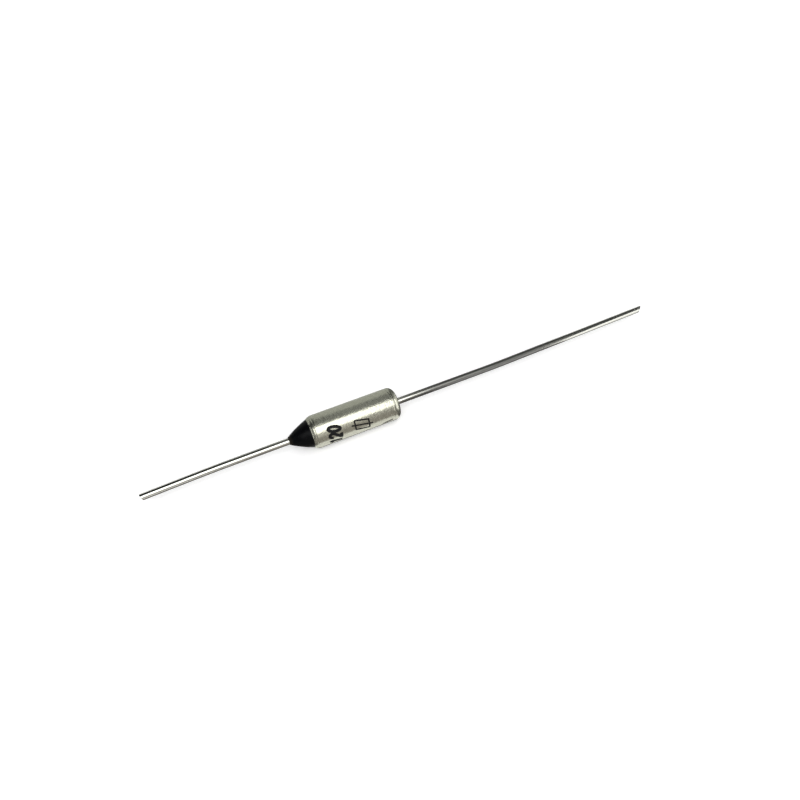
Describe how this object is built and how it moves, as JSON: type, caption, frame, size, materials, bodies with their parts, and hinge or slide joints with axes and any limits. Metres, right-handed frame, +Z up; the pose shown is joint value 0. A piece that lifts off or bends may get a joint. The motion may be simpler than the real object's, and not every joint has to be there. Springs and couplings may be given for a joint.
{
  "type": "thermal fuse",
  "caption": "Axial thermal cut-off: a small plated metal barrel, sealed at one end by a black resin cone, with a stiff wire lead out of each end.",
  "frame": {"origin": "middle of the case's straight barrel, on its axis", "axes": "+X along the barrel towards the case lead, +Z up as the part lies on its barrel, the case lead bending slightly towards +Y"},
  "size_m": [0.0665, 0.004, 0.004],
  "materials": {
    "plated_case": "satin",
    "tinned_wire": "satin",
    "black_resin": "satin",
    "white_ceramic": "matte",
    "spring_steel": "satin",
    "silver_plate": "satin",
    "disc_brass": "satin",
    "pellet_compound": "matte"
  },
  "bodies": {
    "root": {"case": "plated_case", "case_lead": "tinned_wire", "isolated_lead": "tinned_wire", "sealing_resin": "black_resin", "ceramic_bushing": "white_ceramic", "trip_spring": "spring_steel", "star_contact": "silver_plate", "contact_disc": "disc_brass", "barrel_spring": "spring_steel", "pellet_disc": "disc_brass", "thermal_pellet": "pellet_compound"}
  },
  "joints": []
}
